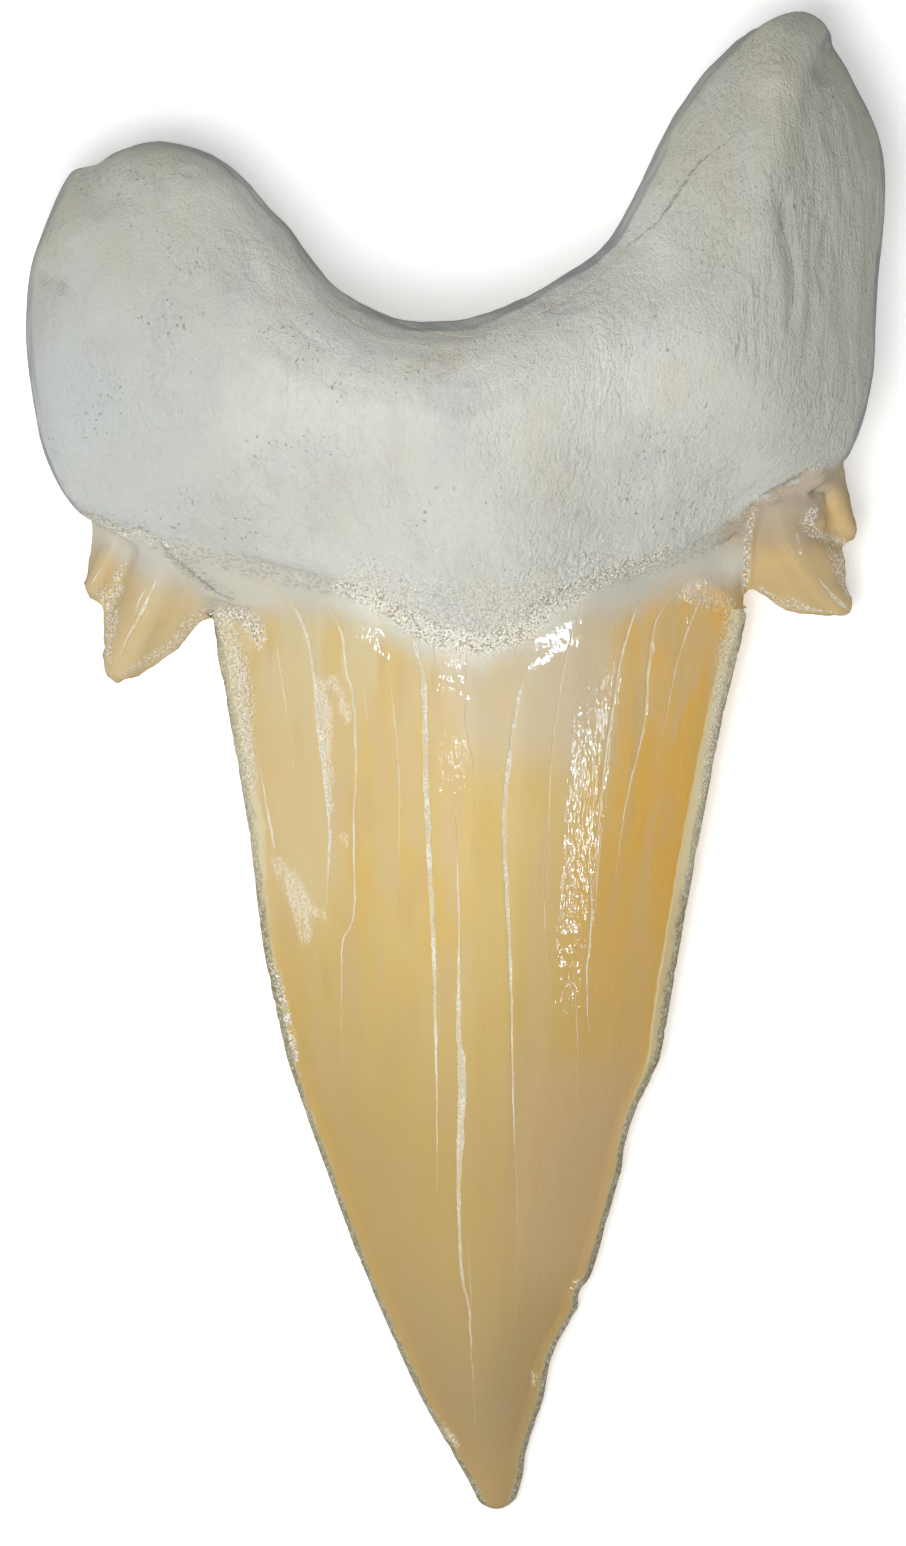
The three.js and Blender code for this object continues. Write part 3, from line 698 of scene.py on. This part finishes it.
def surfaceFields(points, normals):
    # everything that the shape and the material need to know about each point; distances are in mm
    x, y, _ = points.T
    upper = smoothStep(-0.15, 0.15, normals[:, 2])
    outerEdge = curveThrough(tooth["outerLine"])(x) - y
    fromLeft, fromRight, onBlade = bladeDistances(x, y)
    farInside, farOutside = 9.0, -9.0
    fields = {
        "rootEdge": (y - curveThrough(tooth["rootLine"])(x)) * upper - outerEdge * (1 - upper),
        "enamelEdge": (curveThrough(tooth["enamelLine"])(x) - y) * upper + outerEdge * (1 - upper),
        "along": y,
        "cusp": onCusplets(x, y, "painted"),
        "fromEdge": np.where(onBlade, np.minimum(fromLeft, fromRight), farInside),
        # how far inside the worn bands of the two cutting edges
        "leftBand": np.where(onBlade, curveThrough(tooth["leftBand"])(y) - fromLeft, farOutside),
        "rightBand": np.where(onBlade, curveThrough(tooth["rightBand"])(y) - fromRight, farOutside),
    }
    measures = {"x": x, "y": y, "aside": np.abs(x)}
    measures.update({name: fields[name] for name in ("rootEdge", "fromEdge")})
    softness = areaValue(tooth["crestSoftness"], measures)
    measures["pastCrest"] = (x - curveThrough(tooth["crestLine"])(y)) / softness
    measures["pastNeck"] = y - areaValue(tooth["neckStart"], measures)
    for name, area in tooth["colourAreas"].items():
        fields[name] = areaValue(area, measures)
    fields["flank"] *= fields.pop("flankEnd")
    fields["moss"] += fields.pop("leftMoss")
    for name, paths in tooth["lines"].items():
        side, half = lineField(points[:, :2], paths)
        fields[name + "Side"] = side
        fields[name + "Half"] = half * smoothStep(0.0, 0.3, normals[:, 2])
    return fields


def shapeSkin(mesh):
    points, normals = meshArrays(mesh)
    x, y, _ = points.T
    fields = surfaceFields(points, normals)
    measures = {
        "x": x, "y": y, "aside": np.abs(x), "up": normals[:, 2], "level": np.abs(normals[:, 2]),
        "rootEdge": fields["rootEdge"], "enamelEdge": fields["enamelEdge"],
    }
    areas = {name: areaShare(steps, measures) for name, steps in tooth["shapeAreas"].items()}
    rise = -tooth["collarRecess"] * areas["lip"]
    for name, height, size, seed in tooth["lumps"]:
        rise += height * areas[name] * noiseAt(points, size, seed)
    end = tooth["ridgeEnd"]
    for height, halfWidth, path in tooth["relief"]:
        close, signed, _ = nearPath(points[:, :2], densePath(path, 0.3, 0.03), end * halfWidth)
        rise[close] += height * smoothStep(end, 0.0, np.abs(signed) / halfWidth) * areas["inner"][close]
    for name in tooth["lines"]:
        half = fields[name + "Half"]
        inside = smoothStep(1.6, 0.6, np.abs(fields[name + "Side"]) / np.maximum(half, 1e-4)) * (half > 0.02)
        rise -= tooth["grooveDepth"] * inside * smoothStep(0.02, 0.1, half)
    points += normals * rise[:, None]
    # x and y among the measures have moved with the points
    shrink = tooth["rootShrink"] * areaShare(tooth["rootSides"], measures)
    points[:, :2] -= normals[:, :2] * shrink[:, None]

    # the even skin leaves small steps along the cutting edges, so their points go back to the CAD outline
    rows, left, right = outline
    nicks = smoothStep(0.15, 0.5, noiseAt(points, (0.7, 0.9, 0.9), 6.4))
    grow = tooth["bladeGrow"] - tooth["edgeNicks"] * nicks
    inside, outside, lowest, highest = tooth["edgeBand"]
    for edge, sign in ((np.interp(y, rows, left), -1), (np.interp(y, rows, right), 1)):
        beyond = sign * (x - edge)
        inBand = (y < highest) & (y > lowest) & (beyond > -inside) & (beyond < outside)
        rim = smoothStep(0.8, 0.45, measures["level"]) * smoothStep(inside, 0.5, -beyond)
        points[:, 0] += sign * np.where(inBand, rim, 0) * (grow - beyond)
    for atX, atY, reach, byX, byY in tooth["nudges"]:
        away = np.hypot(points[:, 0] - atX, points[:, 1] - atY)
        points[:, :2] += np.exp(-(away / reach) ** 2)[:, None] * np.array((byX, byY))
    putPoints(mesh, points)
    share = onCusplets(x, y, "smoothed") * smoothStep(0.8, 0.5, measures["level"])
    relax(mesh, tooth["rimPasses"], share, tooth["smoothFactors"])


def storeFields(mesh):
    points, normals = meshArrays(mesh)
    fields = surfaceFields(points, normals)
    facing = smoothStep(0.0, 0.2, normals[:, 2])
    farthest = 1.6      # mm from a path to where its covering ends
    densest = 9         # grains per mm2 that hide the ground
    coverings = {name: [(1.0, path) for path in tooth[name]] for name in ("chalky", "stained", "rough")}
    coverings["sandy"] = [(min(1.0, dense / densest), path) for dense, path in sand["strips"]]
    for name, strips in coverings.items():
        covered = np.zeros(len(points))
        for most, path in strips:
            close, signed, half = nearPath(points[:, :2], densePath(path), farthest)
            cover = smoothStep(1.3, 0.5, np.abs(signed) / np.maximum(half, 0.05)) * most
            covered[close] = np.maximum(covered[close], cover)
        fields[name] = covered * facing
    for name, values in fields.items():
        addAttribute(mesh, name, values)


def toothMaterial(mesh):
    # Enameloid cap, polished by wear and glossy, on a dull, chalky root of mineralised dentine. The enamel is
    # cream to amber with pale cracks that fine matrix has filled.
    material = bpy.data.materials.new("fossil_enamel_and_dentine")
    material.use_nodes = True
    tree = material.node_tree
    tree.nodes.clear()
    node = partial(addNode, tree)
    soft = {"interpolation_type": "SMOOTHSTEP"}
    colour = {name: linearColour(value) for name, value in tooth["colours"].items()}
    stored = [layer.name for layer in mesh.attributes if layer.data_type == "FLOAT"]
    has = {name: node("Attribute", output="Fac", attribute_name=name) for name in stored}
    place = node("TexCoord", output="Object")
    apart = 7.3     # lumps between one pattern's origin and the next one's
    for seed, (name, (size, octaves, roughness)) in enumerate(tooth["patterns"].items()):
        scale = [1 / (width * mm) for width in size]
        scaled = node("Mapping", {"Vector": place, "Location": [apart * seed] * 3, "Scale": scale})
        links = {"Vector": scaled, "Scale": 1.0, "Detail": octaves, "Roughness": roughness}
        has[name] = node("TexNoise", links)
    has["facingUp"] = node("SeparateXYZ", {0: node("NewGeometry", output="Normal")}, 2)
    for name, (pattern, amount, field) in tooth["ragged"].items():
        uneven = node("Math", {0: has[pattern], 1: 0.5}, operation="SUBTRACT")
        has[name] = node("Math", {0: uneven, 1: amount, 2: has[field]}, operation="MULTIPLY_ADD")
    has["bothBands"] = node("Math", {0: has["leftRagged"], 1: has["rightRagged"]}, operation="MAXIMUM")
    has["fromBand"] = node("Math", {0: has["rightRagged"]}, operation="ABSOLUTE")
    veins = node("Math", {0: has["vein"], 1: 0.5}, operation="SUBTRACT")
    has["fromVein"] = node("Math", {0: veins}, operation="ABSOLUTE")

    # fine lines, nibbled at their edges, with a darker core in the widest cracks
    nibbled = node("Math", {0: has["nibble"], 1: 0.9, 2: 0.55}, operation="MULTIPLY_ADD")
    for name in tooth["lines"]:
        away = node("Math", {0: has[name + "Side"]}, operation="ABSOLUTE")
        reach = node("Math", {0: has[name + "Half"], 1: nibbled}, operation="MULTIPLY")
        inside = node("Math", {0: reach, 1: away}, operation="SUBTRACT")
        deeper = node("Math", {0: inside, 1: tooth["coreInside"]}, operation="SUBTRACT")
        for end, depth, softness in (("Line", inside, "lineSoft"), ("Core", deeper, "coreSoft")):
            links = {0: depth, 1: tooth[softness]}
            has[name + end] = node("Math", links, operation="DIVIDE", use_clamp=True)
    bothCracks = node("Math", {0: has["crackLine"], 1: has["crackBesideLine"]}, operation="MAXIMUM")
    has["crackMask"] = node("Math", {0: bothCracks, 1: has["strandLine"]}, operation="MAXIMUM")
    has["crackCores"] = node("Math", {0: has["crackCore"], 1: has["crackBesideCore"]}, operation="MAXIMUM")

    for name, (source, low, high, outside, inside, within) in tooth["masks"].items():
        has[name] = node("MapRange", {0: has[source], 1: low, 2: high, 3: outside, 4: inside}, **soft)
        if within:
            has[name] = node("Math", {0: has[name], 1: has[within]}, operation="MULTIPLY")
    has["fibrous"] = node("Math", {0: has["wornRoot"], 1: has["rootMask"]}, operation="MULTIPLY")

    # matrix that fills hollows and clings to the rim
    clinging = node("Math", {0: has["rimMask"], 1: tooth["rimMatrix"]}, operation="MULTIPLY")
    clinging = node("Math", {0: has["sandy"], 1: clinging}, operation="MAXIMUM")
    patches = node("MapRange", {0: has["patchy"], 1: 0.40, 2: 0.54}, **soft)
    has["gritMask"] = node("Math", {0: clinging, 1: patches}, operation="MULTIPLY")

    ground = {name: colour[name] for name in tooth["tones"]}
    for name, tones in tooth["tones"].items():
        for source, low, high, share, tint in tones:
            amount = node("MapRange", {0: has[source], 1: low, 2: high, 4: share}, **soft)
            ground[name] = node("Mix", {0: amount, 6: ground[name], 7: colour[tint]}, 2, data_type="RGBA")

    # cracks are less pale in the root and fade towards the tip
    links = {0: has["rootMask"], 1: -tooth["crackInRoot"], 2: tooth["crackCover"]}
    covered = node("Math", links, operation="MULTIPLY_ADD")
    fading = node("MapRange", dict(enumerate((has["along"], *tooth["crackFade"]))))
    covered = node("Math", {0: fading, 1: covered}, operation="MULTIPLY")
    has["crackFill"] = node("Math", {0: has["crackMask"], 1: covered}, operation="MULTIPLY")
    links = {0: has["coreMask"], 6: ground["crackWarm"], 7: colour["crackCore"]}
    ground["crackWarm"] = node("Mix", links, 2, data_type="RGBA")
    base = ground["collar"]
    layers = {"enamelMask": "enamel", "rootMask": "root", "gritMask": "gritDark", "crackFill": "crackWarm"}
    for mask, over in layers.items():
        base = node("Mix", {0: has[mask], 6: base, 7: ground[over]}, 2, data_type="RGBA")

    # gloss of the polished enamel
    dull = has["crackMask"]
    for name in ("edgeMask", "sandy", "chalkMask", "rootMask"):
        dull = node("Math", {0: dull, 1: has[name]}, operation="MAXIMUM")
    shine = node("Math", {0: 1.0, 1: dull}, operation="SUBTRACT", use_clamp=True)
    has["glossMask"] = node("Math", {0: has["polished"], 1: shine}, operation="MULTIPLY")
    has["dullMask"] = node("Math", {0: 1.0, 1: has["glossMask"]}, operation="SUBTRACT")
    finish = tooth["finish"]
    links = {0: has["glossMask"], 1: -finish["polish"], 2: has["dullness"]}
    roughness = node("Math", links, operation="MULTIPLY_ADD")

    height = 0.0
    for name, amount, mask in tooth["fineRelief"]:
        # a pattern varies around one half; without that half the masked ground keeps its level
        varied = node("Math", {0: has[name], 1: 0.0 if name.endswith("Mask") else 0.5}, operation="SUBTRACT")
        kept = node("Math", {0: varied, 1: has[mask]}, operation="MULTIPLY")
        height = node("Math", {0: kept, 1: amount, 2: height}, operation="MULTIPLY_ADD")
    bump = node("Bump", {"Height": height, "Strength": 1.0, "Distance": mm})

    shader = node("BsdfPrincipled", {
        "Base Color": base, "Roughness": roughness, "Normal": bump, "IOR": finish["ior"],
        "Specular IOR Level": finish["specular"],
        "Coat Weight": node("Math", {0: has["glossMask"], 1: finish["coat"]}, operation="MULTIPLY"),
        "Coat Roughness": finish["coatRoughness"], "Coat IOR": finish["coatIor"], "Coat Normal": bump,
    })
    node("OutputMaterial", {"Surface": shader})
    return material


outline = bladeOutline()
skin = evenSkin()
print("even skin:", len(skin.data.polygons), "faces")
wearSmooth(skin.data)
cutFiner(skin)
shapeSkin(skin.data)
storeFields(skin.data)
for polygon in skin.data.polygons:
    polygon.use_smooth = True
skin.data.materials.clear()
skin.data.materials.append(toothMaterial(skin.data))
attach(skin, "root")
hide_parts("tooth")
print("tooth skin:", sum(len(p.vertices) - 2 for p in skin.data.polygons), "triangles")


def sandMaterial():
    # Quartz and calcite sand, weathered: translucent white, cream and grey grains with small glints.
    material = bpy.data.materials.new("fine_matrix_sand")
    material.use_nodes = True
    tree = material.node_tree
    tree.nodes.clear()
    node = partial(addNode, tree)
    tint = node("Attribute", output="Fac", attribute_name="grainTint")
    shade = linearColour(sand["tints"][0][1])
    for (low, _), (high, hexText) in zip(sand["tints"], sand["tints"][1:]):
        amount = node("MapRange", {0: tint, 1: low, 2: high})
        shade = node("Mix", {0: amount, 6: shade, 7: linearColour(hexText)}, 2, data_type="RGBA")
    place = node("TexCoord", output="Object")
    fleck = node("TexNoise", {"Vector": place, "Scale": sand["flecks"] / mm, "Detail": 1.0})
    roughness = node("MapRange", {0: fleck, 3: 0.25, 4: 0.75})
    shader = node("BsdfPrincipled", {"Base Color": shade, "Roughness": roughness, "IOR": 1.54})
    node("OutputMaterial", {"Surface": shader})
    return material


def sandGrains():
    chance = random.Random(sand["seed"])
    surface = BVHTree.FromObject(skin, bpy.context.evaluated_depsgraph_get())
    above, down = 0.05, Vector((0, 0, -1))
    spread, limit = sand["spread"]
    shape = bmesh.new()
    bmesh.ops.create_icosphere(shape, subdivisions=1, radius=0.5)
    single = bpy.data.meshes.new("grain")
    shape.to_mesh(single)
    shape.free()
    together = bmesh.new()
    tints = []
    for dense, strip in sand["strips"]:
        path = densePath(strip)
        lengths = np.hypot(*np.diff(path[:, :2], axis=0).T)
        areas = lengths * (path[:-1, 2] + path[1:, 2])
        for _ in range(int(areas.sum() * dense * sand["more"])):
            k = chance.choices(range(len(areas)), areas)[0]
            spot = path[k] + chance.random() * (path[k + 1] - path[k])
            across = max(-limit, min(limit, chance.gauss(0, spread))) * spot[2]
            direction = (path[k + 1] - path[k])[:2] / lengths[k]
            x, y = spot[0] - direction[1] * across, spot[1] + direction[0] * across
            hit, normal, _, _ = surface.ray_cast(Vector((x * mm, y * mm, above)), down)
            if hit is None or normal.z < sand["steepest"]:
                continue
            size = chance.uniform(*sand["size"]) * mm
            turn = Euler([chance.uniform(0, 6.28) for _ in range(3)]).to_matrix().to_4x4()
            breadth, height = chance.uniform(*sand["breadth"]), chance.uniform(*sand["height"])
            stretch = Matrix.Diagonal((size, size * breadth, size * height, 1))
            grain = single.copy()
            grain.transform(Matrix.Translation(hit - normal * size * sand["sunk"]) @ turn @ stretch)
            together.from_mesh(grain)
            bpy.data.meshes.remove(grain)
            tints.append(chance.random())
    mesh = bpy.data.meshes.new("matrix_sand")
    together.to_mesh(mesh)
    together.free()
    addAttribute(mesh, "grainTint", np.repeat(tints, len(single.vertices)))
    bpy.data.meshes.remove(single)
    grains = bpy.data.objects.new("matrix_sand", mesh)
    scene.collection.objects.link(grains)
    mesh.materials.append(sandMaterial())
    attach(grains, "root")
    print("sand:", len(tints), "grains")


sandGrains()


studio = {
    "viewCentre": (-0.24, -0.54),   # mm, middle of the view
    "viewHeight": 93.1,             # mm seen from top to bottom
    "viewLevel": 4,                 # mm, height above the floor at which that holds
    "lens": 200.0,                  # mm
    "floor": "#FCFCFB",
    "floorSize": 3.0,               # m
    "floorGlow": 0.35,              # the paper lies on a light table, which keeps the shadow pale
    "ambient": 0.13,
    # Place in m, size in m, turn in degrees and brightness on the tooth. The lamps give the light, and the
    # glints give only the small bluish reflections on the enamel.
    "lamps": [
        ("key", (-0.028, -0.022, 0.19), (0.10, 0.10), 0, 0.88),
        ("fillLeft", (-0.45, -0.06, 0.15), (0.2, 0.3), 0, 0.08),
        ("fillTop", (-0.20, 0.42, 0.16), (0.3, 0.15), 0, 0.03),
        ("fillRight", (0.30, -0.32, 0.30), (0.3, 0.3), 0, 0.10),
    ],
    "glints": [
        ("glintWindow", (0.574, -0.127, 0.226), (0.011, 0.12), -35, 0.032),
        ("glintRight", (0.52, 0.12, 0.69), (0.035, 0.22), -31, 0.12),
        ("glintBack", (-0.18, 0.198, 0.842), (0.014, 0.05), 0, 0.018),
        ("glintTop", (-0.215, 0.06, 0.855), (0.010, 0.04), 0, 0.009),
        ("glintLow", (-0.254, -0.135, 0.833), (0.01, 0.02), 0, 0.005),
        ("glintLeft", (-0.63, 0.165, 0.59), (0.022, 0.10), 0, 0.035),
    ],
    "glintColour": "#C8E6FF",
}


def buildFloor():
    grid = bmesh.new()
    bmesh.ops.create_grid(grid, x_segments=1, y_segments=1, size=studio["floorSize"] / 2)
    mesh = bpy.data.meshes.new("floor")
    grid.to_mesh(mesh)
    grid.free()
    floor = bpy.data.objects.new("floor", mesh)
    scene.collection.objects.link(floor)
    # White drawing paper: flat and matt.
    paper = bpy.data.materials.new("white_paper")
    paper.use_nodes = True
    inputs = paper.node_tree.nodes["Principled BSDF"].inputs
    inputs["Base Color"].default_value = linearColour(studio["floor"])
    inputs["Roughness"].default_value = 0.9
    inputs["Emission Color"].default_value = (1, 1, 1, 1)
    inputs["Emission Strength"].default_value = studio["floorGlow"]
    mesh.materials.append(paper)
    floor.visible_glossy = False


def buildCamera():
    lens = bpy.data.cameras.new("camera")
    lens.sensor_fit = "VERTICAL"
    lens.sensor_height = 36.0
    lens.lens = studio["lens"]
    lens.clip_start, lens.clip_end = 0.01, 20.0
    camera = bpy.data.objects.new("camera", lens)
    x, y = studio["viewCentre"]
    distance = studio["viewHeight"] * lens.lens / lens.sensor_height
    camera.location = Vector((x, y, distance + studio["viewLevel"])) * mm
    scene.collection.objects.link(camera)
    scene.camera = camera


def buildLight():
    world = bpy.data.worlds.new("studio")
    world.use_nodes = True
    background = world.node_tree.nodes["Background"]
    background.inputs["Color"].default_value = (1, 1, 1, 1)
    background.inputs["Strength"].default_value = studio["ambient"]
    scene.world = world
    scene.view_settings.view_transform = "Standard"
    for group in ("lamps", "glints"):
        for name, place, size, turn, bright in studio[group]:
            lamp = bpy.data.lights.new(name, "AREA")
            lamp.shape = "RECTANGLE"
            lamp.size, lamp.size_y = size
            lamp.energy = bright * math.pi ** 2 * Vector(place).length_squared
            if group == "glints":
                lamp.color = linearColour(studio["glintColour"])[:3]
            light = bpy.data.objects.new(name, lamp)
            light.location = place
            turned = Euler((0, 0, math.radians(turn))).to_quaternion()
            light.rotation_euler = ((-Vector(place)).to_track_quat("-Z", "Y") @ turned).to_euler()
            light.visible_glossy = group == "glints"
            light.visible_diffuse = group == "lamps"
            light.visible_camera = False
            scene.collection.objects.link(light)


buildFloor()
buildCamera()
buildLight()
print("studio done")
